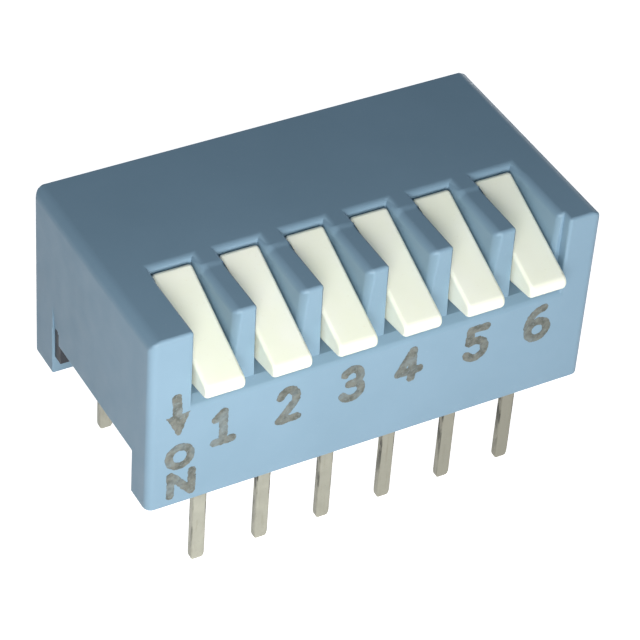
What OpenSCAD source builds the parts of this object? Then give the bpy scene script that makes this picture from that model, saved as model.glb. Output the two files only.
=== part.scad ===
// Side-actuated DIP switch: a moulded housing with a row of rocking levers
// over two rows of flat pins. The origin is the centre of the pin grid on the
// seating plane, where the feet meet a circuit board. X runs along the row
// of levers, -Y is the lever side and +Z is up. Millimetres.

/* [Ways] */
// Number of levers, each with its own pair of pins
ways = 6; // [2:1:10]
// Spacing of the levers, and of the pins along each row
pitch = 2.54; // [2.54]
// Distance between the front and the back row of pins
row_gap = 7.62; // [7.62]

/* [Housing] */
// Housing length beyond one pitch for each way
end_allowance = 2.38; // [2:0.02:3]
// Front to back
housing_d = 9.38; // [9.3:0.02:9.6]
// Seating plane to the top
housing_h = 7.58; // [7.5:0.01:7.8]
// Rounding of the four upright edges
corner_r = 0.3; // [0.1:0.05:0.6]
// Rounding of the top edge at each end
end_edge_r = 0.45; // [0.05:0.05:0.5]
// Thickness of the front and back walls
wall_t = 0.65; // [0.6:0.01:0.7]
// Thickness of the end walls
end_t = 1.0; // [0.9:0.02:1]
// Thickness of the roof behind the levers
roof_t = 0.85; // [0.7:0.05:0.9]
// Height of the end walls' lower edge above the seating plane
end_lift = 1.9; // [1.85:0.05:1.95]
// Front to back length of the feet at the front corners
front_foot_d = 1.26; // [1.2:0.02:1.6]
// Front to back length of the feet at the back corners
back_foot_d = 1.6; // [1.2:0.02:1.7]
// Height of the back feet and the back wall above the seating plane
back_foot_lift = 0.25; // [0:0.05:0.3]
// Width of the relief slot beside each back foot
relief_w = 0.5; // [0.3:0.05:0.6]
// Height of the relief slot above the end wall's lower edge
relief_h = 0.5; // [0.44:0.02:0.8]

/* [Lever opening] */
// Width of the slot that each lever moves in
slot_w = 1.70; // [1.68:0.01:1.74]
// Width of the slot's narrower back end
slot_back_w = 1.62; // [1.6:0.01:1.66]
// Y of the slot's back wall
slot_back_y = -1.06; // [-1.08:0.01:-1]
// Y of the parting step where the slot narrows
slot_step_y = -1.7; // [-2:0.05:-1.6]
// How far the ribs' tops lie below the roof in front of the step
rib_drop = 0.05; // [0:0.01:0.08]
// Depth of the recess across the front, in front of the ribs
recess_d = 0.42; // [0.36:0.02:0.6]
// Width of the post at the right end of the recess
post_w = 1.36; // [1.2:0.02:1.5]
// Height of the front panel below the levers
panel_h = 4.25; // [4.2:0.01:4.26]
// How far the ledge rises between the front panel and the ribs
ledge_rise = 0.24; // [0.1:0.02:0.24]

/* [Levers] */
// Width of a lever
lever_w = 1.5; // [1.4:0.02:1.54]
// Angle between a lever's off and on positions
throw = 7.5; // [6:0.5:7.5]
// Slope of a lever's top face in the off position
ramp_angle = 22.9; // [20:0.1:24]
// Slope of the underside in front of the ledge
chin_angle = 7; // [5:0.5:9]
// Radius of the rounded nose
nose_r = 0.32; // [0.28:0.01:0.34]
// Radius of the lever's upper back corner
lip_r = 0.16; // [0.1:0.02:0.2]
// Radius of the hub around the pivot
hub_r = 0.85; // [0.8:0.01:0.9]
// Radius of the trunnions
trunnion_r = 0.35; // [0.3:0.01:0.4]
// Radial clearance of a trunnion in its bearing
bearing_gap = 0.02; // [0.01:0.01:0.05]

/* [Metal] */
// Length of a pin below the seating plane
pin_len = 3.85; // [3:0.05:4]
// Width of a pin
pin_w = 0.55; // [0.45:0.01:0.6]
// Thickness of the terminal strip
strip_t = 0.25; // [0.2:0.01:0.3]
// Thickness of the moving contact
contact_t = 0.15; // [0.1:0.01:0.18]

/* [Hidden] */
$fn = 48;
eps = 0.01;
over = 1;                       // how far a cutter runs past the face it cuts
fit_gap = 0.02;                 // gap between the base and the housing

housing_l = ways * pitch + end_allowance;
front_y = -housing_d / 2;
back_y = housing_d / 2;
rib_front_y = front_y + recess_d;
cavity_x = housing_l / 2 - end_t;
cavity_y = housing_d / 2 - wall_t;
roof_z = housing_h - roof_t;
relief_z = end_lift + relief_h;

// Base and the seal below it
seal_z = 1.95;
base_z = 2.2;
deck_z = 3.05;
tunnel_z = 3.45;                // underside of the ledge, above the strips
ledge_back_y = -3.3;            // back of the ledge that the levers close on
partition_y = -1.55;            // front edge of the base's partitions
latch_z = 1.0;                  // lower end of the base's latches
latch_inset = 0.1;              // how far the latches stay inside the end walls

// Lever profile, in the off position
pivot = [-0.67, 5.65];
lever_back = [-1.13, 7.466];
lever_floor_z = 4.99;
chin_y = -4.35;                 // where the underside starts to rise towards the nose
bearing_depth = 0.25;
trunnion_reach = 0.22;
tail_front = -0.45;             // tail faces, from the pivot, when it hangs straight down
tail_back = 0.22;
tail_len = 2.0;

// Moving contact: two fingers joined by a band under the lever's tail
contact_w = 1.3;
contact_split = 0.24;
crest_drop = 1.6;               // height of the touching points below the pivot
crest_out = 0.10;               // how far the fingers bow out
touch_gap = 0.02;

// Terminals: one finger on each side of the way's centre line
finger_w = 0.5;
finger_x = 0.12;
loop_r = 0.5;
loop_y = 2.0;
tip_taper = 0.35;
pin_tip_w = 0.26;

metal_names = ["contact", "terminal_front", "terminal_back"];

function way_x(i) = (i - (ways + 1) / 2) * pitch;
function ledge_z(y) = y < rib_front_y
    ? panel_h + (y - front_y) * ledge_rise / recess_d
    : panel_h + ledge_rise + (y - rib_front_y) * tan(throw);
function arc(centre, r, from, to, steps = 8) =
    [for (i = [0:steps]) let (a = from + (to - from) * i / steps) centre + r * [cos(a), sin(a)]];

// The outline of a strip of thickness t bent along a path
function heading(path, i) =
    let (step = path[min(i + 1, len(path) - 1)] - path[max(i - 1, 0)]) step / norm(step);
function beside(path, i, gap) = let (h = heading(path, i)) path[i] + gap * [-h[1], h[0]];
module ribbon(path, t) {
    last = len(path) - 1;
    polygon(concat(
        [for (i = [0:last]) beside(path, i, t / 2)],
        [for (i = [last:-1:0]) beside(path, i, -t / 2)]
    ));
}

// Extrudes a Y-Z outline from x0 to x1
module along_x(x0, x1) {
    translate([x0, 0, 0]) rotate([90, 0, 90]) linear_extrude(x1 - x0) children();
}

// A block given by its lowest and highest corners
module block(low, high) {
    translate(low) cube(high - low);
}

// Turns its children about the levers' pivot line
module about_pivot(angle) {
    translate([0, pivot[0], pivot[1]]) rotate([angle, 0, 0]) children();
}

// Housing --------------------------------------------------------------------

module rounded_rectangle(size, r) {
    square([size[0] - 2 * r, size[1]], center = true);
    square([size[0], size[1] - 2 * r], center = true);
    for (x = [-1, 1], y = [-1, 1])
        translate([x * (size[0] / 2 - r), y * (size[1] / 2 - r)]) circle(r);
}

module housing_block() {
    intersection() {
        linear_extrude(housing_h) rounded_rectangle([housing_l, housing_d], corner_r);
        translate([0, housing_d / 2 + over, housing_h / 2])
            rotate([90, 0, 0])
                linear_extrude(housing_d + 2 * over) {
                    rounded_rectangle([housing_l, housing_h], end_edge_r);
                    translate([0, -housing_h / 4]) square([housing_l, housing_h / 2], center = true);
                }
    }
}

// The space for the base: low at the front, as high as the pivots behind them
module base_cavity() {
    block([-cavity_x, -cavity_y, -over], [cavity_x, cavity_y, deck_z + fit_gap]);
    block([-cavity_x, partition_y - fit_gap, 0], [cavity_x, cavity_y, pivot[1]]);
}

// Everything cut out for one way, about its centre line
module way_space() {
    half = slot_w / 2;
    back_half = slot_back_w / 2;
    top = housing_h + over;
    block([-half, ledge_back_y, deck_z], [half, cavity_y, roof_z]);
    block([-half, -cavity_y, deck_z], [half, ledge_back_y + eps, tunnel_z]);
    along_x(-half, half) polygon([
        [front_y - over, ledge_z(front_y - over)],
        [rib_front_y, ledge_z(rib_front_y)],
        [ledge_back_y, ledge_z(ledge_back_y)],
        [ledge_back_y, tunnel_z],
        [slot_step_y, tunnel_z],
        [slot_step_y, top],
        [front_y - over, top],
    ]);
    block([-back_half, slot_step_y - eps, roof_z - eps], [back_half, slot_back_y, top]);
}

// The round seats of one lever's trunnions
module bearing_seats() {
    reach = slot_w / 2 + bearing_depth;
    about_pivot(0) rotate([0, 90, 0])
        cylinder(h = 2 * reach, r = trunnion_r + bearing_gap, center = true);
}

// The recess across all the ways, in front of the ribs. At its left end it stops
// at the first slot's wall.
module front_recess() {
    along_x(way_x(1), housing_l / 2 - post_w) polygon([
        [front_y - over, ledge_z(front_y - over)],
        [rib_front_y, ledge_z(rib_front_y)],
        [rib_front_y, housing_h + over],
        [front_y - over, housing_h + over],
    ]);
}

// The gap under an end wall between its feet, and the relief slot beside the back foot
module end_gap() {
    inner = cavity_x - over;
    outer = housing_l / 2 + over;
    foot_y = back_y - back_foot_d;
    block([inner, front_y + front_foot_d, -over], [outer, foot_y, end_lift]);
    block([inner, foot_y - relief_w, 0], [outer, foot_y, relief_z]);
}

module housing() {
    rib_zone = way_x(ways) + eps;
    color("#7f9db6") difference() {
        housing_block();
        base_cavity();
        front_recess();
        for (i = [1:ways]) translate([way_x(i), 0, 0]) {
            way_space();
            bearing_seats();
        }
        block([-rib_zone, rib_front_y - over, housing_h - rib_drop], [rib_zone, slot_step_y, housing_h + over]);
        block([-housing_l, back_y - back_foot_d, -over], [housing_l, back_y + over, back_foot_lift]);
        end_gap();
        mirror([1, 0, 0]) end_gap();
    }
}

// Base -----------------------------------------------------------------------

// One wall between two ways, or at an end, that closes the bearings from below
module partition(x0, x1) {
    block([x0, partition_y, deck_z - eps], [x1, cavity_y - fit_gap, pivot[1] - fit_gap]);
}

// The lug that a lever's tail rests against in the off position
module stop_lug() {
    lug_top = 4.3;
    lug_t = 0.45;
    reach = tail_front - contact_t - touch_gap;
    function face_y(z) = pivot[0] + reach / cos(throw) - (pivot[1] - z) * tan(throw);
    along_x(0.05, slot_w / 2 - 0.04) polygon([
        [face_y(lug_top) - lug_t, deck_z - eps],
        [face_y(deck_z - eps), deck_z - eps],
        [face_y(lug_top), lug_top],
        [face_y(lug_top) - lug_t, lug_top],
    ]);
}

// A latch of the base: it fills one relief slot and stops short of the outside
module latch() {
    back = back_y - back_foot_d - fit_gap;
    front = back + 2 * fit_gap - relief_w;
    top = relief_z - fit_gap;
    block([cavity_x, front, latch_z], [housing_l / 2 - latch_inset, back, top]);
    block([cavity_x - 2 * fit_gap, front, base_z], [cavity_x + eps, back, top]);
}

module pin_holes() {
    for (i = [1:ways], side = [-1, 1])
        translate([way_x(i), side * row_gap / 2, 0])
            linear_extrude(housing_h) square([pin_w, strip_t], center = true);
}

module base() {
    half = (pitch - slot_w) / 2 - eps;
    end_x = way_x(ways) + slot_w / 2 + fit_gap;
    plate = [cavity_x - fit_gap, cavity_y - fit_gap];
    color("#3b4654") difference() {
        union() {
            block([-plate[0], -plate[1], base_z], [plate[0], plate[1], deck_z]);
            for (i = [1:ways - 1]) translate([way_x(i) + pitch / 2, 0, 0]) partition(-half, half);
            partition(end_x, plate[0]);
            partition(-plate[0], -end_x);
            for (i = [1:ways]) translate([way_x(i), 0, 0]) stop_lug();
            latch();
            mirror([1, 0, 0]) latch();
        }
        for (i = [1:ways]) translate([way_x(i), 0, 0]) bearing_seats();
        pin_holes();
    }
}

// The resin poured under the base, level with the end walls
module seal() {
    plate = [cavity_x - fit_gap, cavity_y - fit_gap];
    color("#1d2024") difference() {
        block([-plate[0], -plate[1], seal_z], [plate[0], plate[1], base_z]);
        pin_holes();
    }
}

// Levers ---------------------------------------------------------------------

// The side of a lever in the off position, from its nose to its hub
module lever_outline() {
    slope = tan(ramp_angle);
    rise = tan(chin_angle);
    over_chin = lever_back[1] + (chin_y - lever_back[0]) * slope - lever_floor_z;
    apex_y = chin_y - over_chin / (slope + rise);
    apex = [apex_y, lever_floor_z + (chin_y - apex_y) * rise];
    lean = (ramp_angle - chin_angle) / 2;
    nose = apex + nose_r / sin((ramp_angle + chin_angle) / 2) * [cos(lean), sin(lean)];
    polygon(concat(
        arc(lever_back + lip_r * [-1, -1 - slope / 2], lip_r, 0, 90 + ramp_angle, 5),
        arc(nose, nose_r, 90 + ramp_angle, 270 - chin_angle, 14),
        [
            [chin_y, lever_floor_z],
            [pivot[0], lever_floor_z],
            pivot,
            [lever_back[0], pivot[1]],
        ]
    ));
    translate(pivot) circle(hub_r);
}

module lever() {
    half = lever_w / 2;
    reach = slot_w / 2 + trunnion_reach;
    color("#f1f0dc") {
        along_x(-half, half) lever_outline();
        about_pivot(-throw) block([-half, tail_front, -tail_len], [half, tail_back, 0]);
        about_pivot(0) rotate([0, 90, 0]) cylinder(h = 2 * reach, r = trunnion_r, center = true);
    }
}

// Metal ----------------------------------------------------------------------

// The moving contact, which wraps the tail from front to back
module contact() {
    front = tail_front - contact_t / 2;
    back = tail_back + contact_t / 2;
    under = -tail_len - contact_t / 2;
    corner = 0.12;
    path = concat(
        [[front, -1.2], [front, under + 2 * corner]],
        arc([front + corner, under + corner], corner, 180, 270, 4),
        arc([back - corner, under + corner], corner, 270, 360, 4),
        [
            [back, -crest_drop - 0.26],
            [back + crest_out * 0.8, -crest_drop - 0.08],
            [back + crest_out, -crest_drop],
            [back + crest_out * 0.8, -crest_drop + 0.08],
            [back, -crest_drop + 0.26],
            [back, -0.95],
        ]
    );
    color("#d8c07a") about_pivot(-throw) difference() {
        along_x(-contact_w / 2, contact_w / 2) ribbon(path, contact_t);
        block([-contact_split / 2, tail_back, -tail_len + 0.12], [contact_split / 2, 1, 0]);
    }
}

// The sprung finger of a terminal, from the base to the touching point
function finger_path(start_y) =
    let (
        lie_z = deck_z + strip_t / 2,
        bend = 0.35,
        loop_z = 5.55,
        rise = loop_z - lie_z - bend,
        crest_z = pivot[1] - crest_drop,
        crest_y = pivot[0] + tail_back + contact_t + crest_out + touch_gap + strip_t / 2,
        turn = start_y < loop_y ? [-90, 0] : [270, 180],
        bend_y = start_y < loop_y ? loop_y - bend : loop_y + bend
    )
    concat(
        [[start_y, lie_z]],
        arc([bend_y, lie_z + bend], bend, turn[0], turn[1], 5),
        [[loop_y, lie_z + bend + rise / 2]],
        arc([loop_y - loop_r, loop_z], loop_r, 0, 180, 10),
        [
            [loop_y - 2 * loop_r, loop_z - 0.3],
            [crest_y + 0.35, crest_z + 0.5],
            [crest_y + 0.06, crest_z + 0.12],
            [crest_y, crest_z],
            [crest_y + 0.06, crest_z - 0.12],
            [crest_y + 0.2, crest_z - 0.3],
        ]
    );

// The straight leg that becomes a pin, tapered at its tip, from the tip to the deck
module leg() {
    tip = pin_tip_w / 2;
    half = pin_w / 2;
    translate([0, strip_t / 2, 0]) rotate([90, 0, 0]) linear_extrude(strip_t) polygon([
        [-tip, -pin_len],
        [tip, -pin_len],
        [half, -pin_len + tip_taper],
        [half, deck_z + strip_t],
        [-half, deck_z + strip_t],
        [-half, -pin_len + tip_taper],
    ]);
}

// A terminal: side is -1 for the front row and 1 for the back row
module terminal(side) {
    leg_y = side * row_gap / 2;
    edge_y = leg_y + side * strip_t / 2;
    foot_y = side * (row_gap / 2 - 0.55);
    near = side < 0 ? -finger_x - finger_w : finger_x;
    low_x = min(near, -pin_w / 2);
    high_x = max(near + finger_w, pin_w / 2);
    color("#b9bba9") {
        translate([0, leg_y, 0]) leg();
        block([low_x, min(edge_y, foot_y), deck_z], [high_x, max(edge_y, foot_y), deck_z + strip_t]);
        along_x(near, near + finger_w) ribbon(finger_path(foot_y), strip_t);
    }
}

// Nodes ----------------------------------------------------------------------

housing();
base();
seal();
for (i = [1:ways]) translate([way_x(i), 0, 0]) {
    lever();
    contact();
    terminal(-1);
    terminal(1);
}
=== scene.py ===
"""Looks of a side-actuated DIP switch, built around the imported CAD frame.

Shapes are worked out in millimetres and scaled to metres when they become pieces.
"""
import math

import bmesh
import bpy
import numpy as np
from mathutils import Matrix, Vector, noise

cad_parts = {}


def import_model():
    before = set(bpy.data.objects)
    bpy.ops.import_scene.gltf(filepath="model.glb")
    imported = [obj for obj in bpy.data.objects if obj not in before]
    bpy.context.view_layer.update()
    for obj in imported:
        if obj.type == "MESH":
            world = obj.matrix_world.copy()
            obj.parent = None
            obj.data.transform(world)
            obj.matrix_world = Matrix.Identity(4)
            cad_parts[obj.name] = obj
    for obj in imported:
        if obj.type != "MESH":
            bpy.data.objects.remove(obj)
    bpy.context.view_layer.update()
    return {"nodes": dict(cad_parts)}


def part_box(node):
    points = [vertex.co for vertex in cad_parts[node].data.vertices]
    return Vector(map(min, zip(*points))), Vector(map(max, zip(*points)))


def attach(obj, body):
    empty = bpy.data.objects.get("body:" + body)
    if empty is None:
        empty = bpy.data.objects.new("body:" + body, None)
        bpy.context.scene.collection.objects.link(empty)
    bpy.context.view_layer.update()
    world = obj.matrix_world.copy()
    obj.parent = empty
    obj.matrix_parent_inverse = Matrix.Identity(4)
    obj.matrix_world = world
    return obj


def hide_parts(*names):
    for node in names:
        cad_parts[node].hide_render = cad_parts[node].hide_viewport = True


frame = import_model()

MM = 0.001
BODY = "switch"

# Sizes of the frame, in millimetres -----------------------------------------------------

low, high = [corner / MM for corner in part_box("housing")]
half_l = high.x
front_y, back_y = low.y, high.y
top_z = high.z
pin_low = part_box("terminal_front_1")[0].z / MM
ways = sum(name.startswith("lever_") for name in frame["nodes"])
pitch = 2.54
row_gap = 7.62
way_x = [(i - (ways - 1) / 2) * pitch for i in range(ways)]

slot_half = 0.85
slot_back_half = 0.81
slot_back_y = -1.06
slot_step_y = -1.7
rib_drop = 0.05
rib_front_y = front_y + 0.42
panel_h = 4.25
ledge_rise = 0.24
throw = math.radians(7.5)
recess_left = way_x[0] - slot_half
recess_right = half_l - 1.36
end_t = 1.0
wall_t = 0.65
roof_z = top_z - 0.85
end_lift = 1.9
front_foot_d = 1.26
back_foot_d = 1.6
back_foot_lift = 0.25
relief_w = 0.5
relief_z = 2.4
deck_z = 3.05
tunnel_z = 3.45
ledge_back_y = -3.3
partition_y = -1.55
fit_gap = 0.02
cavity_x = half_l - end_t
cavity_y = back_y - wall_t
seal_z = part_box("seal")[0].z / MM
base_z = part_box("seal")[1].z / MM

pivot = Vector((-0.67, 5.65))
hub_r = 0.85
trunnion_r = 0.35
lever_half = 0.75
lever_back = Vector((-1.13, 7.466))
lever_floor_z = 4.99
chin_y = -4.35
chin = math.radians(7)
ramp = math.radians(22.9)
nose_r = 0.3205
lip_r = 0.16
tail_front, tail_back, tail_len = -0.45, 0.22, 2.0
strip_t = 0.25
pin_half = 0.275

# Edge radii, in millimetres: the housing's large ones, its slots', its feet's and the rest
corner_r = 0.30
end_edge_r = 0.45
top_back_r, top_front_r = 0.07, 0.12
panel_r = 0.14
slot_back_r = 0.26
rib_front_r = 0.14
rib_left_r, rib_right_r = 0.28, 0.11
rib_upright_r, rib_upright_right_r, last_upright_r = 0.32, 0.10, 0.22
post_r, post_upright_r = 0.12, 0.13
front_foot_r, back_foot_r = 0.30, 0.20
bottom_r, foot_outline_r = 0.09, 0.05
lever_edge_r = 0.14
leg_edge_r = 0.035


# Mesh helpers ----------------------------------------------------------------------------

def add_box(bm, a, b):
    """A closed box from its lowest to its highest corner."""
    made = bmesh.ops.create_cube(bm, size=1.0)["verts"]
    a, b = Vector(a), Vector(b)
    for v in made:
        v.co = Vector((a[k] + (v.co[k] + 0.5) * (b[k] - a[k]) for k in range(3)))


def add_prism(bm, outline, start, end, place):
    """A closed prism: place(u, v, w) turns an outline point and a length into a position."""
    first = [bm.verts.new(place(u, v, start)) for u, v in outline]
    last = [bm.verts.new(place(u, v, end)) for u, v in outline]
    n = len(outline)
    faces = [bm.faces.new(first), bm.faces.new(last[::-1])]
    for i in range(n):
        j = (i + 1) % n
        faces.append(bm.faces.new((first[j], first[i], last[i], last[j])))
    bmesh.ops.recalc_face_normals(bm, faces=faces)


def along_x(y, z, x):
    return (x, y, z)


def along_y(x, z, y):
    return (x, y, z)


def add_cylinder_x(bm, y, z, r, x0, x1, steps=40):
    turn = [2 * math.pi * i / steps for i in range(steps)]
    add_prism(bm, [(y + r * math.cos(a), z + r * math.sin(a)) for a in turn], x0, x1, along_x)


def loose(bm, name="part"):
    """Turns a bmesh into an object that is still in millimetres."""
    mesh = bpy.data.meshes.new(name)
    bm.normal_update()
    bm.to_mesh(mesh)
    bm.free()
    obj = bpy.data.objects.new(name, mesh)
    bpy.context.scene.collection.objects.link(obj)
    return obj


def settle(obj):
    """Replaces an object's mesh with what its modifiers make of it."""
    graph = bpy.context.evaluated_depsgraph_get()
    graph.update()
    made = bpy.data.meshes.new_from_object(obj.evaluated_get(graph))
    obj.modifiers.clear()
    old, obj.data = obj.data, made
    bpy.data.meshes.remove(old)


def combine(obj, tool_bm, operation):
    """Cuts a tool out of an object, or joins it on, and drops the tool."""
    tool = loose(tool_bm, "tool")
    modifier = obj.modifiers.new("combine", "BOOLEAN")
    modifier.operation = operation
    modifier.solver = "EXACT"
    modifier.object = tool
    settle(obj)
    bpy.data.objects.remove(tool)


def tidy_faces(obj):
    """Merges what the cuts left: doubled points and flat neighbours."""
    bm = bmesh.new()
    bm.from_mesh(obj.data)
    bmesh.ops.remove_doubles(bm, verts=bm.verts, dist=2e-4)
    bmesh.ops.dissolve_limit(bm, angle_limit=math.radians(0.3), verts=bm.verts, edges=bm.edges)
    bm.to_mesh(obj.data)
    bm.free()


def round_edges(obj, radius_of, segments=4):
    """Rounds each edge by the radius that radius_of(middle, direction, convex) gives it."""
    bm = bmesh.new()
    bm.from_mesh(obj.data)
    bm.normal_update()
    layers = bm.edges.layers.float
    weight = layers.get("bevel_weight_edge") or layers.new("bevel_weight_edge")
    for e in bm.edges:
        e[weight] = 0.0
        if len(e.link_faces) != 2 or e.calc_face_angle(0) < math.radians(20):
            continue
        a, b = e.verts[0].co, e.verts[1].co
        d = b - a
        if d.length < 1e-5:
            continue
        e[weight] = radius_of((a + b) / 2, d.normalized(), e.is_convex)
    bm.to_mesh(obj.data)
    bm.free()
    modifier = obj.modifiers.new("round", "BEVEL")
    modifier.limit_method = "WEIGHT"
    modifier.width = 1.0
    modifier.segments = segments
    modifier.use_clamp_overlap = False
    modifier.miter_outer = "MITER_SHARP"
    settle(obj)


def smooth(obj, angle=40):
    """Smooth shading that follows the flat faces."""
    mesh = obj.data
    for p in mesh.polygons:
        p.use_smooth = True
    mesh.set_sharp_from_angle(angle=math.radians(angle))
    modifier = obj.modifiers.new("normals", "WEIGHTED_NORMAL")
    modifier.keep_sharp = True
    modifier.weight = 60
    settle(obj)


def piece(obj, name, body, material, *nodes):
    """Scales an object to metres and makes it a named piece of the model."""
    obj.name = name
    obj.data.name = name
    obj.data.transform(Matrix.Scale(MM, 4))
    obj.data.materials.clear()
    obj.data.materials.append(material)
    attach(obj, body)
    if nodes:
        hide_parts(*nodes)
    return obj


def copy_at(obj, x):
    """A copy of a millimetre object, moved along X in its mesh."""
    other = bpy.data.objects.new(obj.name, obj.data.copy())
    bpy.context.scene.collection.objects.link(other)
    other.data.transform(Matrix.Translation((x, 0, 0)))
    return other


# Materials ---------------------------------------------------------------------------------

class Nodes:
    """A short way to write a material's node tree."""

    def __init__(self, name):
        self.material = bpy.data.materials.new(name)
        self.material.use_nodes = True
        self.tree = self.material.node_tree
        self.shader = self.tree.nodes["Principled BSDF"]
        self.place = self.tree.nodes.new("ShaderNodeTexCoord").outputs["Object"]

    def link(self, a, b):
        self.tree.links.new(a, b)

    def stretch(self, scale):
        """The object coordinates, scaled along each axis: below 1 draws a pattern out."""
        node = self.tree.nodes.new("ShaderNodeMapping")
        node.inputs["Scale"].default_value = scale
        self.link(self.place, node.inputs["Vector"])
        return node.outputs["Vector"]

    def noise(self, size_mm, detail=3.0, rough=0.55, vector=None):
        """Noise whose blobs are about size_mm across."""
        node = self.tree.nodes.new("ShaderNodeTexNoise")
        node.inputs["Scale"].default_value = 1 / (size_mm * MM)
        node.inputs["Detail"].default_value = detail
        node.inputs["Roughness"].default_value = rough
        self.link(vector or self.place, node.inputs["Vector"])
        return node.outputs["Fac"]

    def ramp(self, value, low, high, out_low=0.0, out_high=1.0):
        """A value from low to high, brought to the range out_low to out_high and held there."""
        node = self.tree.nodes.new("ShaderNodeMapRange")
        node.inputs["From Min"].default_value = low
        node.inputs["From Max"].default_value = high
        node.inputs["To Min"].default_value = out_low
        node.inputs["To Max"].default_value = out_high
        self.link(value, node.inputs["Value"])
        return node.outputs["Result"]

    def mix(self, factor, a, b):
        """A colour between a and b; each is a colour or a socket."""
        node = self.tree.nodes.new("ShaderNodeMix")
        node.data_type = "RGBA"
        self.link(factor, node.inputs["Factor"])
        for socket, value in ((node.inputs[6], a), (node.inputs[7], b)):
            if isinstance(value, tuple):
                socket.default_value = (*value, 1)
            else:
                self.link(value, socket)
        return node.outputs[2]

    def along(self, axis):
        """The object coordinate along one axis, in metres."""
        node = self.tree.nodes.new("ShaderNodeSeparateXYZ")
        self.link(self.place, node.inputs[0])
        return node.outputs[axis]

    def math(self, operation, *values):
        node = self.tree.nodes.new("ShaderNodeMath")
        node.operation = operation
        for socket, value in zip(node.inputs, values):
            if isinstance(value, (int, float)):
                socket.default_value = value
            else:
                self.link(value, socket)
        return node.outputs[0]

    def bump(self, height, depth_mm, strength=1.0, under=None):
        node = self.tree.nodes.new("ShaderNodeBump")
        node.inputs["Strength"].default_value = strength
        node.inputs["Distance"].default_value = depth_mm * MM
        self.link(height, node.inputs["Height"])
        if under:
            self.link(under, node.inputs["Normal"])
        return node.outputs["Normal"]

    def finish(self, colour=None, rough=None, normal=None, **constants):
        for name, value in (("Base Color", colour), ("Roughness", rough), ("Normal", normal)):
            if value is not None:
                self.link(value, self.shader.inputs[name])
        for name, value in constants.items():
            self.shader.inputs[name.replace("_", " ")].default_value = value
        return self.material


def housing_plastic():
    n = Nodes("housing_plastic")
    cloud = n.noise(5.0, 2)
    mottle = n.noise(0.45, 3)
    speck = n.noise(0.09, 1)
    colour = n.mix(n.ramp(cloud, 0.35, 0.65), (0.212, 0.334, 0.440), (0.226, 0.352, 0.464))
    colour = n.mix(n.ramp(mottle, 0.25, 0.75, 0.0, 0.10), colour, (0.18, 0.30, 0.40))
    colour = n.mix(n.ramp(speck, 0.70, 0.80, 0.0, 0.16), colour, (0.42, 0.50, 0.55))
    rough = n.ramp(n.noise(0.8, 4), 0.3, 0.7, 0.42, 0.52)
    fine = n.bump(n.noise(0.05, 2), 0.0012)
    wave = n.bump(n.noise(3.0, 1), 0.0006, under=fine)
    return n.finish(colour, rough, wave, IOR=1.5, Specular_IOR_Level=0.35)


def lever_plastic():
    n = Nodes("lever_plastic")
    cloud = n.noise(2.4, 2)
    speck = n.noise(0.10, 1)
    colour = n.mix(n.ramp(cloud, 0.35, 0.65), (0.91, 0.95, 0.79), (0.94, 0.97, 0.84))
    colour = n.mix(n.ramp(speck, 0.68, 0.80, 0.0, 0.18), colour, (0.74, 0.66, 0.50))
    rough = n.ramp(n.noise(0.5, 3), 0.3, 0.7, 0.34, 0.46)
    fine = n.bump(n.noise(0.06, 2), 0.001)
    n.shader.inputs["Subsurface Radius"].default_value = (1.0, 1.0, 0.85)
    return n.finish(colour, rough, fine, IOR=1.5, Subsurface_Weight=0.2, Subsurface_Scale=0.0005)


def pin_metal():
    n = Nodes("pin_metal")
    cloud = n.noise(0.5, 4)
    streak = n.noise(0.12, 4, vector=n.stretch((1, 1, 0.12)))
    pit = n.noise(0.06, 2)
    colour = n.mix(n.ramp(cloud, 0.3, 0.7), (0.38, 0.38, 0.32), (0.47, 0.47, 0.40))
    colour = n.mix(n.ramp(streak, 0.56, 0.74, 0.0, 0.55), colour, (0.30, 0.29, 0.22))
    colour = n.mix(n.ramp(pit, 0.66, 0.76, 0.0, 0.5), colour, (0.20, 0.20, 0.16))
    x, z = n.along(0), n.along(2)
    # Painted shade: darker towards the last way, where less light from the key lamp falls
    colour = n.mix(n.ramp(x, -half_l * MM, half_l * MM, 0.0, 0.85), colour, (0.21, 0.20, 0.16))
    # Painted dark reflection and shade on the pins' side faces, patchy and strongest near the body;
    # off_middle is counted in pitches
    turn = n.math("FRACT", n.math("MULTIPLY_ADD", x, 1 / (pitch * MM), 0.5 * ways))
    off_middle = n.math("ABSOLUTE", n.math("SUBTRACT", turn, 0.5))
    edge = n.ramp(off_middle, 0.21 / pitch, 0.25 / pitch)
    shade_patches = n.ramp(n.noise(0.22, 3, vector=n.stretch((1, 1, 0.22))), 0.44, 0.56, 0.15, 1.0)
    upper = n.ramp(z, -3.2 * MM, -1.2 * MM, 0.25, 1.0)
    painted_side_shade = n.math("MULTIPLY", n.math("MULTIPLY", edge, shade_patches), upper)
    colour = n.mix(painted_side_shade, colour, (0.035, 0.036, 0.030))
    rough = n.ramp(cloud, 0.3, 0.7, 0.38, 0.55)
    under = n.bump(streak, 0.004)
    return n.finish(colour, rough, n.bump(pit, 0.002, under=under), Metallic=0.75)


def contact_metal():
    n = Nodes("contact_metal")
    streak = n.noise(0.15, 3, vector=n.stretch((1, 0.15, 0.15)))
    colour = n.mix(n.ramp(streak, 0.35, 0.65), (0.72, 0.55, 0.24), (0.80, 0.64, 0.33))
    rough = n.ramp(streak, 0.3, 0.7, 0.22, 0.34)
    return n.finish(colour, rough, n.bump(streak, 0.001), Metallic=1.0)


def base_plastic():
    n = Nodes("base_plastic")
    cloud = n.noise(1.5, 3)
    colour = n.mix(n.ramp(cloud, 0.35, 0.65), (0.016, 0.020, 0.029), (0.023, 0.028, 0.038))
    rough = n.ramp(n.noise(0.4, 3), 0.3, 0.7, 0.45, 0.6)
    return n.finish(colour, rough, n.bump(n.noise(0.05, 2), 0.0015))


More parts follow.
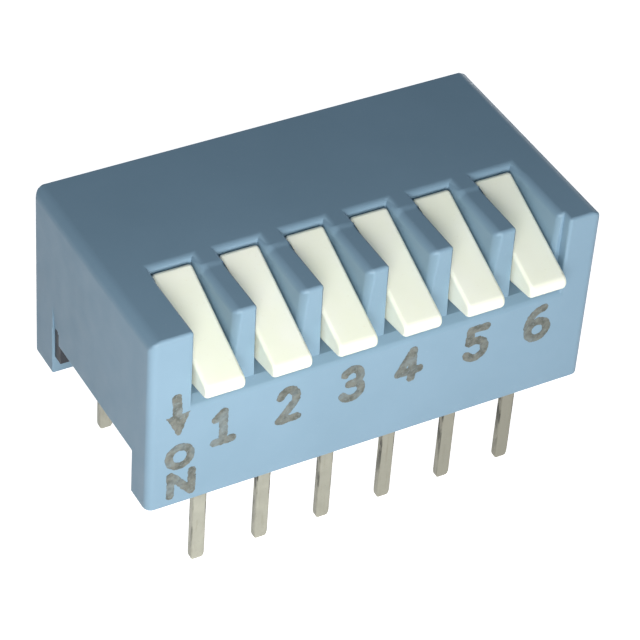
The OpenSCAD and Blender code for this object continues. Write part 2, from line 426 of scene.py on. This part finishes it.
def seal_resin():
    n = Nodes("seal_resin")
    cloud = n.noise(1.8, 3)
    bubble = n.noise(0.16, 1)
    colour = n.mix(n.ramp(cloud, 0.35, 0.65), (0.020, 0.021, 0.024), (0.030, 0.031, 0.035))
    rough = n.ramp(cloud, 0.3, 0.7, 0.16, 0.30)
    ripple = n.bump(n.noise(0.9, 1), 0.01)
    return n.finish(colour, rough, n.bump(n.ramp(bubble, 0.66, 0.74), 0.004, under=ripple))


def ink():
    n = Nodes("marking_ink")
    blot = n.noise(0.22, 3)
    grain = n.noise(0.08, 2)
    fade = n.noise(0.7, 2)
    colour = n.mix(n.ramp(blot, 0.36, 0.64), (0.070, 0.078, 0.066), (0.165, 0.178, 0.160))
    colour = n.mix(n.ramp(grain, 0.56, 0.72, 0.0, 0.32), colour, (0.25, 0.34, 0.38))
    colour = n.mix(n.ramp(fade, 0.50, 0.72, 0.0, 0.30), colour, (0.24, 0.34, 0.40))
    rough = n.ramp(blot, 0.3, 0.7, 0.45, 0.62)
    return n.finish(colour, rough, n.bump(grain, 0.001))


PLASTIC = housing_plastic()
CREAM = lever_plastic()
TIN = pin_metal()
BRASS = contact_metal()
DARK = base_plastic()
RESIN = seal_resin()
INK = ink()


# Housing -------------------------------------------------------------------------------------

def ledge_z(y):
    """The ledge below the levers: a short slope behind the panel, then a gentle one."""
    if y < rib_front_y:
        return panel_h + (y - front_y) * ledge_rise / (rib_front_y - front_y)
    return panel_h + ledge_rise + (y - rib_front_y) * math.tan(throw)


def near(a, b, slack=0.03):
    return abs(a - b) < slack


def nearest_way(x):
    return min(way_x, key=lambda w: abs(x - w))


def rim_radius(p, upright, across):
    """The radius of an edge around the slots; the ribs are rounder on their left side."""
    off = p.x - nearest_way(p.x)
    at_post = abs(off) > slot_half + 0.1
    if upright:
        if near(p.y, front_y):
            return post_upright_r
        if not near(p.y, rib_front_y):
            return 0.0
        if p.x > way_x[-1]:
            return last_upright_r
        return rib_upright_r if off > 0 else rib_upright_right_r
    if across:
        return slot_back_r if near(p.y, slot_back_y) else rib_front_r
    if at_post:
        return post_r
    return rib_left_r if off > 0 else rib_right_r


def foot_radius(p, across):
    if across and near(p.z, 0) and near(p.y, front_y + front_foot_d):
        return front_foot_r
    if across and near(p.z, back_foot_lift):
        return back_foot_r
    return 0.0


def outline_radius(p, d, convex):
    """The small rounding along the outline of the feet and the bottom, after the large ones."""
    x, y = abs(p.x), p.y
    if not convex or p.z > relief_z + 0.1:
        return 0.0
    inside = corner_r - 0.01
    in_corner = x > half_l - inside and (y < front_y + inside or y > back_y - inside)
    if near(p.z, 0) and (in_corner or near(y, front_y) or near(x, half_l)):
        return bottom_r
    at_bottom = near(y, back_y) and p.z < 1
    return foot_outline_r if near(x, half_l) or at_bottom else 0.0


def housing_radius(p, d, convex):
    """The radius of an edge of the housing, from where it lies."""
    x, y, z = abs(p.x), p.y, p.z
    upright, across, deep = abs(d.z) > 0.95, abs(d.x) > 0.95, abs(d.y) > 0.9
    at_end = near(x, half_l)
    at_side = near(y, front_y) or near(y, back_y)
    if upright and at_end and at_side:
        return corner_r
    if deep and at_end and near(z, top_z):
        return end_edge_r
    if across and near(z, top_z) and near(y, back_y):
        return top_back_r
    if across and near(z, top_z) and near(y, front_y):
        return top_front_r
    if across and near(y, front_y) and near(z, panel_h):
        return panel_r
    if convex and z > panel_h and y < slot_back_y + 0.05 and x < half_l - 1.2:
        top_edge = z > top_z - 0.12
        return rim_radius(p, upright, across) if upright or top_edge else 0.0
    if z < relief_z + 0.1 and (at_end or at_side):
        return foot_radius(p, across)
    return 0.0


def slot_outline(x, front):
    """The plan of one slot, which narrows at the parting step, as (x, y) points."""
    right = [
        (slot_half, front),
        (slot_half, slot_step_y - 0.06),
        (slot_back_half, slot_step_y + 0.05),
        (slot_back_half, slot_back_y),
    ]
    return [(x + u, v) for u, v in right] + [(x - u, v) for u, v in right[::-1]]


def cut_openings(body, over):
    """Cuts the recess, the slots and the space each lever hangs in."""
    top = top_z + over
    front = front_y - over
    tool = bmesh.new()
    recess = [
        (front, ledge_z(front)),
        (rib_front_y, ledge_z(rib_front_y)),
        (rib_front_y, top),
        (front, top),
    ]
    add_prism(tool, recess, recess_left, recess_right, along_x)
    combine(body, tool, "DIFFERENCE")

    def slot_place(x, y, w):
        floor_z = ledge_z(rib_front_y) + (y - rib_front_y) * math.tan(throw)
        return (x, y, top if w else floor_z)

    tool = bmesh.new()
    for x in way_x:
        add_prism(tool, slot_outline(x, rib_front_y - 0.1), 0, 1, slot_place)
    combine(body, tool, "DIFFERENCE")

    tool = bmesh.new()
    well = [
        (ledge_back_y, ledge_z(ledge_back_y) + 0.3),
        (ledge_back_y, tunnel_z),
        (-cavity_y, tunnel_z),
        (-cavity_y, deck_z),
        (cavity_y, deck_z),
        (cavity_y, roof_z),
        (slot_back_y - 0.2, roof_z),
        (slot_back_y - 0.2, ledge_z(ledge_back_y) + 0.3),
    ]
    half = slot_half - 0.02
    for x in way_x:
        add_prism(tool, well, x - half, x + half, along_x)
    combine(body, tool, "DIFFERENCE")

    tool = bmesh.new()
    for x in way_x:
        reach = slot_half + 0.25
        add_cylinder_x(tool, pivot.x, pivot.y, trunnion_r + 0.02, x - reach, x + reach)
    combine(body, tool, "DIFFERENCE")


def cut_ends(body, over):
    """Cuts the gaps below the end walls, the relief slots and the shallow grooves above them."""
    foot_y = back_y - back_foot_d
    gaps, reliefs, grooves = bmesh.new(), bmesh.new(), bmesh.new()
    groove_top = 3.45
    for side in (-1, 1):
        x0, x1 = sorted((side * (cavity_x - over), side * (half_l + over)))
        add_box(gaps, (x0, front_y + front_foot_d, -over), (x1, foot_y, end_lift))
        add_box(reliefs, (x0, foot_y - relief_w, 0), (x1, foot_y, relief_z))
        wedge = [
            (side * (half_l - 0.07), relief_z - 0.05),
            (side * (half_l + 0.004), groove_top),
            (side * (half_l + over), groove_top),
            (side * (half_l + over), relief_z - 0.05),
        ]
        add_prism(grooves, wedge, foot_y - relief_w + 0.03, foot_y - 0.03, along_y)
    for tool in (gaps, reliefs, grooves):
        combine(body, tool, "DIFFERENCE")

    tool = bmesh.new()
    add_box(tool, (-half_l - over, foot_y, -over), (half_l + over, back_y + over, back_foot_lift))
    combine(body, tool, "DIFFERENCE")


def housing():
    over = 1.0
    bm = bmesh.new()
    add_box(bm, (-half_l, front_y, 0), (half_l, back_y, top_z))
    body = loose(bm, "housing")

    tool = bmesh.new()
    add_box(tool, (-cavity_x, -cavity_y, -over), (cavity_x, cavity_y, deck_z + fit_gap))
    combine(body, tool, "DIFFERENCE")

    tool = bmesh.new()
    add_box(tool, (-cavity_x, partition_y - fit_gap, 0), (cavity_x, cavity_y, pivot.y))
    combine(body, tool, "DIFFERENCE")

    tool = bmesh.new()
    drop = [
        (front_y - over, top_z - rib_drop),
        (slot_step_y - 0.18, top_z - rib_drop),
        (slot_step_y + 0.12, top_z),
        (slot_step_y + 0.12, top_z + over),
        (front_y - over, top_z + over),
    ]
    add_prism(tool, drop, way_x[0], way_x[-1], along_x)
    combine(body, tool, "DIFFERENCE")

    cut_openings(body, over)
    cut_ends(body, over)
    tidy_faces(body)
    round_edges(body, housing_radius, 5)
    round_edges(body, outline_radius, 3)
    for v in body.data.vertices:
        v.co.z = min(v.co.z, top_z)
    smooth(body)
    return piece(body, "housing_shell", BODY, PLASTIC, "housing")


# Levers --------------------------------------------------------------------------------------

def arc(centre, r, start, end, steps):
    return [
        (centre[0] + r * math.cos(start + (end - start) * i / steps),
         centre[1] + r * math.sin(start + (end - start) * i / steps))
        for i in range(steps + 1)
    ]


def lever_outline():
    """The side of a lever at rest, as (y, z) points from its back to its floor."""
    slope, rise = math.tan(ramp), math.tan(chin)
    quarter = math.pi / 2
    over_chin = lever_back.y + (chin_y - lever_back.x) * slope - lever_floor_z
    apex_y = chin_y - over_chin / (slope + rise)
    lean = (ramp - chin) / 2
    reach = nose_r / math.sin((ramp + chin) / 2)
    nose = (
        apex_y + reach * math.cos(lean),
        lever_floor_z + (chin_y - apex_y) * rise + reach * math.sin(lean),
    )
    corner = (lever_back.x - lip_r, lever_back.y - lip_r * (1 + slope / 2))
    return (
        arc(corner, lip_r, 0, quarter + ramp, 6)
        + arc(nose, nose_r, quarter + ramp, 3 * quarter - chin, 20)
        + [(chin_y, lever_floor_z), (pivot.x, lever_floor_z), tuple(pivot), (lever_back.x, pivot.y)]
    )


def lever_radius(p, d, convex):
    return lever_edge_r if convex and near(abs(p.x), lever_half) else 0.0


def lever_shape():
    bm = bmesh.new()
    add_prism(bm, lever_outline(), -lever_half, lever_half, along_x)
    body = loose(bm, "lever")

    tool = bmesh.new()
    add_cylinder_x(tool, pivot.x, pivot.y, hub_r, -lever_half, lever_half, 56)
    combine(body, tool, "UNION")

    tool = bmesh.new()
    add_box(tool, (-lever_half, tail_front, -tail_len), (lever_half, tail_back, 0))
    swing = Matrix.Translation((0, pivot.x, pivot.y)) @ Matrix.Rotation(-throw, 4, "X")
    bmesh.ops.transform(tool, matrix=swing, verts=tool.verts)
    combine(body, tool, "UNION")

    tool = bmesh.new()
    reach = slot_half + 0.22
    add_cylinder_x(tool, pivot.x, pivot.y, trunnion_r, -reach, reach)
    combine(body, tool, "UNION")

    tidy_faces(body)
    round_edges(body, lever_radius)
    smooth(body, 32)
    return body


def levers():
    shape = lever_shape()
    for i, x in enumerate(way_x, 1):
        piece(copy_at(shape, x), f"lever_cap_{i}", f"rocker_{i}", CREAM, f"lever_{i}")
    bpy.data.objects.remove(shape)


# Metal ---------------------------------------------------------------------------------------

def ribbon(path, t):
    """The outline of a strip of thickness t bent along (y, z) points."""
    path = [Vector(p) for p in path]
    left, right = [], []
    for i, p in enumerate(path):
        step = (path[min(i + 1, len(path) - 1)] - path[max(i - 1, 0)]).normalized()
        across = Vector((-step.y, step.x)) * t / 2
        left.append(tuple(p + across))
        right.append(tuple(p - across))
    return left + right[::-1]


def finger_path(start_y):
    """A terminal's sprung finger, from the base to the point that touches."""
    bend, loop_y, loop_z, loop_r = 0.35, 2.0, 5.55, 0.5
    lie_z = deck_z + strip_t / 2
    crest_z = pivot.y - 1.6
    contact_t, crest_out = 0.15, 0.10
    crest_y = pivot.x + tail_back + contact_t + crest_out + fit_gap + strip_t / 2
    quarter = math.pi / 2
    if start_y < loop_y:
        turn, bend_y = (-quarter, 0), loop_y - bend
    else:
        turn, bend_y = (3 * quarter, 2 * quarter), loop_y + bend
    tip = [
        (loop_y - 2 * loop_r, loop_z - 0.3),
        (crest_y + 0.35, crest_z + 0.5),
        (crest_y + 0.06, crest_z + 0.12),
        (crest_y, crest_z),
        (crest_y + 0.06, crest_z - 0.12),
        (crest_y + 0.2, crest_z - 0.3),
    ]
    return (
        [(start_y, lie_z)]
        + arc((bend_y, lie_z + bend), bend, *turn, 5)
        + arc((loop_y - loop_r, loop_z), loop_r, 0, math.pi, 10)
        + tip
    )


def leg_outline():
    """A pin from the front: straight sides and a rounded tip, as (x, z) points."""
    tip, taper = 0.13, 0.3
    right = [(pin_half, deck_z + strip_t)]
    steps = 7
    for i in range(steps + 1):
        a = math.pi / 2 * i / steps
        x = tip + (pin_half - tip) * math.cos(a)
        right.append((x, pin_low + taper * (1 - math.sin(a)) ** 1.4))
    return right + [(-x, z) for x, z in right[::-1]]


def leg_radius(p, d, convex):
    return leg_edge_r if convex and p.z < deck_z - 0.1 else 0.0


def terminal_shape(side):
    leg_y = side * row_gap / 2
    edge_y = leg_y + side * strip_t / 2
    foot_y = side * (row_gap / 2 - 0.55)
    finger_gap, finger_w = 0.12, 0.5
    near_x = -finger_gap - finger_w if side < 0 else finger_gap
    far_x = near_x + finger_w
    bm = bmesh.new()
    add_prism(bm, leg_outline(), leg_y - strip_t / 2, leg_y + strip_t / 2, along_y)
    body = loose(bm, "terminal")

    tool = bmesh.new()
    a, b = sorted((edge_y, foot_y))
    add_box(tool, (min(near_x, -pin_half), a, deck_z), (max(far_x, pin_half), b, deck_z + strip_t))
    combine(body, tool, "UNION")

    tool = bmesh.new()
    add_prism(tool, ribbon(finger_path(foot_y), strip_t), near_x, far_x, along_x)
    combine(body, tool, "UNION")

    tidy_faces(body)
    round_edges(body, leg_radius, 3)
    smooth(body, 35)
    return body


def terminals():
    for side, row in ((-1, "front"), (1, "back")):
        shape = terminal_shape(side)
        for i, x in enumerate(way_x, 1):
            piece(copy_at(shape, x), f"pin_{row}_{i}", BODY, TIN, f"terminal_{row}_{i}")
        bpy.data.objects.remove(shape)


# Resin below the base ------------------------------------------------------------------------

def seal():
    """A shallow pool of resin that creeps up the walls and the pins."""
    width, depth = cavity_x - 0.01, cavity_y - 0.01
    nx, ny = 180, 92
    sag, creep = 0.14, 0.10
    wall_reach, pin_reach = 0.16, 0.13
    pins = [(x, side * row_gap / 2) for x in way_x for side in (-1, 1)]

    def from_pin(x, y, pin):
        away_x = max(abs(x - pin[0]) - pin_half, 0)
        away_y = max(abs(y - pin[1]) - strip_t / 2, 0)
        return math.hypot(away_x, away_y)

    def level(x, y):
        to_wall = min(width - abs(x), depth - abs(y))
        to_pin = min(from_pin(x, y, pin) for pin in pins)
        rise = creep * (math.exp(-to_wall / wall_reach) + 0.9 * math.exp(-to_pin / pin_reach))
        wave = 0.012 * noise.noise(Vector((x, y, 0)) * 0.8)
        return max(seal_z + sag - rise + wave, seal_z)

    bm = bmesh.new()
    under = [[
        bm.verts.new((x, y, level(x, y)))
        for y in np.linspace(-depth, depth, ny)
    ] for x in np.linspace(-width, width, nx)]
    for i in range(nx - 1):
        for j in range(ny - 1):
            bm.faces.new((under[i][j], under[i][j + 1], under[i + 1][j + 1], under[i + 1][j]))
    rim = [e for e in bm.edges if e.is_boundary]
    up = bmesh.ops.extrude_edge_only(bm, edges=rim)["geom"]
    for v in up:
        if isinstance(v, bmesh.types.BMVert):
            v.co.z = base_z
    bmesh.ops.contextual_create(bm, geom=[e for e in bm.edges if e.is_boundary])
    bmesh.ops.recalc_face_normals(bm, faces=bm.faces)
    body = loose(bm, "seal")
    for p in body.data.polygons:
        p.use_smooth = len(p.vertices) == 4
    piece(body, "resin_seal", BODY, RESIN, "seal")


# Marking -------------------------------------------------------------------------------------

def bow(cx, cz, rx, rz, start, end, steps=18):
    """Points on part of an ellipse, with the angles in degrees."""
    angles = np.radians(np.linspace(start, end, steps))
    return [(cx + rx * math.cos(a), cz + rz * math.sin(a)) for a in angles]


# Each glyph is a list of strokes, on a field 1 wide and 1.6 high
GLYPHS = {
    "1": [[(0.08, 1.22), (0.48, 1.52)], [(0.48, 1.52), (0.48, 0.08)], [(0.06, 0.08), (0.94, 0.08)]],
    "2": [bow(0.48, 1.10, 0.38, 0.42, 160, -35) + [(0.10, 0.10)], [(0.10, 0.10), (0.94, 0.10)]],
    "3": [
        bow(0.44, 1.14, 0.36, 0.38, 150, -70),
        bow(0.44, 0.46, 0.42, 0.40, 75, -150),
        [(0.34, 0.82), (0.56, 0.82)],
    ],
    "4": [[(0.66, 0.02), (0.66, 1.52), (0.06, 0.42), (1.00, 0.42)]],
    "5": [[(0.86, 1.52), (0.18, 1.52), (0.14, 0.90)], bow(0.44, 0.50, 0.42, 0.44, 125, -150)],
    "6": [
        bow(0.74, 0.74, 0.64, 0.80, 95, 180),
        bow(0.50, 0.50, 0.38, 0.42, 0, 360, 30),
    ],
    "O": [bow(0.50, 0.50, 0.42, 0.42, 0, 360, 30)],
    "N": [[(0.12, 0.06), (0.12, 0.94), (0.86, 0.06), (0.86, 0.94)]],
}


def stroke_distance(px, pz, strokes):
    """The distance of grid points from the nearest stroke."""
    best = np.full(px.shape, 1e9)
    for line in strokes:
        for (ax, az), (bx, bz) in zip(line[:-1], line[1:]):
            dx, dz = bx - ax, bz - az
            length = max(dx * dx + dz * dz, 1e-12)
            t = np.clip(((px - ax) * dx + (pz - az) * dz) / length, 0, 1)
            best = np.minimum(best, np.hypot(px - ax - t * dx, pz - az - t * dz))
    return best


def ink_shape(name, strokes, half_width, solids=()):
    """A thin print on the front face: the union of strokes and filled convex outlines."""
    cell = 0.022
    coarse_amount, fine_amount = 0.026, 0.020
    print_t, anchor = 0.008, 0.03
    points = [p for line in strokes for p in line] + [p for outline in solids for p in outline]
    xs, zs = zip(*points)
    margin = half_width + 0.08
    gx = np.arange(min(xs) - margin, max(xs) + margin + cell, cell)
    gz = np.arange(min(zs) - margin, max(zs) + margin + cell, cell)
    px, pz = np.meshgrid(gx, gz, indexing="ij")
    field = half_width - stroke_distance(px, pz, strokes)
    for outline in solids:
        inside = np.full(px.shape, 1e9)
        for (ax, az), (bx, bz) in zip(outline, outline[1:] + outline[:1]):
            length = math.hypot(bx - ax, bz - az)
            inside = np.minimum(inside, ((px - ax) * (bz - az) - (pz - az) * (bx - ax)) / length)
        field = np.maximum(field, inside)
    coarse = np.array([[noise.noise(Vector((x * 7, z * 7, 3.1))) for z in gz] for x in gx])
    fine = np.array([[noise.noise(Vector((x * 19, z * 19, 7.7))) for z in gz] for x in gx])
    field = field + coarse_amount * coarse + fine_amount * fine

    bm = bmesh.new()
    corner, middle = {}, {}

    def at_corner(i, j):
        if (i, j) not in corner:
            corner[i, j] = bm.verts.new((gx[i], 0, gz[j]))
        return corner[i, j]

    def between(a, b):
        key = (min(a, b), max(a, b))
        if key not in middle:
            fa, fb = field[key[0]], field[key[1]]
            t = min(max(fa / (fa - fb), 0.02), 0.98)
            (i, j), (k, m) = key
            middle[key] = bm.verts.new((gx[i] + t * (gx[k] - gx[i]), 0, gz[j] + t * (gz[m] - gz[j])))
        return middle[key]

    for i in range(len(gx) - 1):
        for j in range(len(gz) - 1):
            ring = [(i, j), (i + 1, j), (i + 1, j + 1), (i, j + 1)]
            inside = [field[c] > 0 for c in ring]
            if not any(inside):
                continue
            outline = []
            for k in range(4):
                a, b = ring[k], ring[(k + 1) % 4]
                if field[a] > 0:
                    outline.append(at_corner(*a))
                if (field[a] > 0) != (field[b] > 0):
                    outline.append(between(a, b))
            if len(outline) > 2:
                bm.faces.new(outline)
    bmesh.ops.recalc_face_normals(bm, faces=bm.faces)
    proud, sunk = front_y - print_t, front_y + anchor
    for v in bm.verts:
        v.co.y = sunk
    made = bmesh.ops.extrude_face_region(bm, geom=list(bm.faces), use_keep_orig=True)["geom"]
    for v in made:
        if isinstance(v, bmesh.types.BMVert):
            v.co.y = proud
    bmesh.ops.recalc_face_normals(bm, faces=bm.faces)
    piece(loose(bm, name), name, BODY, INK)


def fitted(glyph, box, half_width):
    """A glyph's strokes, scaled so that the print fills a box (left, low, right, high)."""
    points = [p for line in GLYPHS[glyph] for p in line]
    (u0, u1), (v0, v1) = [(min(q), max(q)) for q in zip(*points)]
    wide = (box[2] - box[0] - 2 * half_width) / (u1 - u0)
    tall = (box[3] - box[1] - 2 * half_width) / (v1 - v0)
    left, bottom = box[0] + half_width, box[1] + half_width
    return [
        [(left + (u - u0) * wide, bottom + (v - v0) * tall) for u, v in line]
        for line in GLYPHS[glyph]
    ]


def marking():
    bold, word_bold, arrow_bold = 0.17, 0.155, 0.18
    digits = {
        "1": (-6.45, 2.15, -5.45, 3.82),
        "2": (-3.96, 2.20, -2.94, 3.87),
        "3": (-1.48, 2.24, -0.42, 3.90),
        "4": (0.75, 2.30, 1.92, 3.90),
        "5": (3.54, 2.30, 4.60, 3.98),
        "6": (6.05, 2.32, 7.20, 4.00),
    }
    for glyph, box in digits.items():
        ink_shape(f"mark_{glyph}", fitted(glyph, box, bold), bold)
    ring, bar = (-8.17, 1.63, -7.03, 2.79), (-8.08, 0.31, -6.96, 1.56)
    word = fitted("O", ring, word_bold) + fitted("N", bar, word_bold)
    ink_shape("mark_on", word, word_bold)
    head = [(-8.15, 4.12), (-7.72, 3.20), (-7.62, 3.20), (-7.27, 4.16)]
    shaft = [(-7.78, 4.92), (-7.72, 4.0)]
    ink_shape("mark_arrow", [shaft], arrow_bold, [head[::-1]])


# Build ---------------------------------------------------------------------------------------

housing()
levers()
terminals()
seal()
marking()
for node, obj in frame["nodes"].items():
    kept = {"base": DARK}.get(node) or (BRASS if node.startswith("contact_") else None)
    if kept:
        obj.data.materials.clear()
        obj.data.materials.append(kept)


# Stage ---------------------------------------------------------------------------------------

def floor():
    """A pale floor that keeps the shadow and looks white to the camera and in reflections."""
    bm = bmesh.new()
    bmesh.ops.create_grid(bm, x_segments=1, y_segments=1, size=1.5)
    mesh = bpy.data.meshes.new("floor")
    bm.to_mesh(mesh)
    bm.free()
    obj = bpy.data.objects.new("floor", mesh)
    obj.location.z = pin_low * MM
    bpy.context.scene.collection.objects.link(obj)
    material = bpy.data.materials.new("floor")
    material.use_nodes = True
    tree = material.node_tree
    tree.nodes.remove(tree.nodes["Principled BSDF"])
    new = tree.nodes.new
    diffuse, glow = new("ShaderNodeBsdfDiffuse"), new("ShaderNodeEmission")
    both, rays = new("ShaderNodeAddShader"), new("ShaderNodeLightPath")
    seen, clear = new("ShaderNodeMath"), new("ShaderNodeMath")
    seen.operation = clear.operation = "MAXIMUM"
    scale = new("ShaderNodeMath")
    scale.operation = "MULTIPLY"
    scale.inputs[1].default_value = 0.97
    diffuse.inputs["Color"].default_value = (0.62, 0.62, 0.62, 1)
    link = tree.links.new
    link(rays.outputs["Is Camera Ray"], seen.inputs[0])
    link(rays.outputs["Is Glossy Ray"], seen.inputs[1])
    link(seen.outputs[0], clear.inputs[0])
    link(rays.outputs["Is Transmission Ray"], clear.inputs[1])
    link(clear.outputs[0], scale.inputs[0])
    link(scale.outputs[0], glow.inputs["Strength"])
    link(diffuse.outputs[0], both.inputs[0])
    link(glow.outputs[0], both.inputs[1])
    link(both.outputs[0], tree.nodes["Material Output"].inputs["Surface"])
    mesh.materials.append(material)


def world(strength):
    """A soft bluish sky that is white where the camera sees it."""
    made = bpy.data.worlds.new("world")
    bpy.context.scene.world = made
    made.use_nodes = True
    tree = made.node_tree
    back = tree.nodes["Background"]
    rays, level = tree.nodes.new("ShaderNodeLightPath"), tree.nodes.new("ShaderNodeMapRange")
    level.inputs["To Min"].default_value = strength
    level.inputs["To Max"].default_value = 1.0
    tree.links.new(rays.outputs["Is Camera Ray"], level.inputs["Value"])
    tree.links.new(level.outputs["Result"], back.inputs["Strength"])
    tint = tree.nodes.new("ShaderNodeMix")
    tint.data_type = "RGBA"
    tint.inputs[6].default_value = (0.80, 1.0, 1.18, 1)
    tint.inputs[7].default_value = (1, 1, 1, 1)
    tree.links.new(rays.outputs["Is Camera Ray"], tint.inputs["Factor"])
    tree.links.new(tint.outputs[2], back.inputs["Color"])


def softbox(name, place, size, power, aim=(0, 0, 0.004), colour=(1, 1, 1)):
    """A square lamp of a size in metres and a power in watts that faces a point."""
    lamp = bpy.data.lights.new(name, "AREA")
    lamp.size = size
    lamp.energy = power
    lamp.color = colour
    obj = bpy.data.objects.new(name, lamp)
    obj.location = place
    obj.rotation_euler = (Vector(aim) - Vector(place)).to_track_quat("-Z", "Y").to_euler()
    bpy.context.scene.collection.objects.link(obj)


def camera(place, heading, dip, roll, lens):
    """Looks along a heading from +Y towards +X, dipped below level and rolled, in degrees."""
    data = bpy.data.cameras.new("camera")
    data.sensor_width = 36
    data.lens = lens
    data.clip_start = 0.005
    data.clip_end = 10
    obj = bpy.data.objects.new("camera", data)
    a, e, r = (math.radians(v) for v in (heading, dip, roll))
    forward = Vector((math.sin(a) * math.cos(e), math.cos(a) * math.cos(e), -math.sin(e)))
    level = forward.cross(Vector((0, 0, 1))).normalized()
    right = Matrix.Rotation(-r, 3, forward) @ level
    turn = Matrix((right, right.cross(forward), -forward)).transposed()
    obj.matrix_world = Matrix.Translation(place) @ turn.to_4x4()
    bpy.context.scene.collection.objects.link(obj)
    bpy.context.scene.camera = obj


floor()
world(0.17)
softbox("key", (-0.020, -0.0435, 0.021), 0.032, 0.0268, colour=(1.04, 1.0, 0.95))
softbox("front", (-0.05, -0.45, 0.01), 0.25, 0.75, colour=(1.03, 1.0, 0.97))
softbox("back", (0.30, 0.34, 0.004), 0.03, 0.45)
camera((-0.039834, -0.065972, 0.066274), 31.376, 39.799, 4.459, 155.96)
bpy.context.scene.view_settings.view_transform = "Standard"
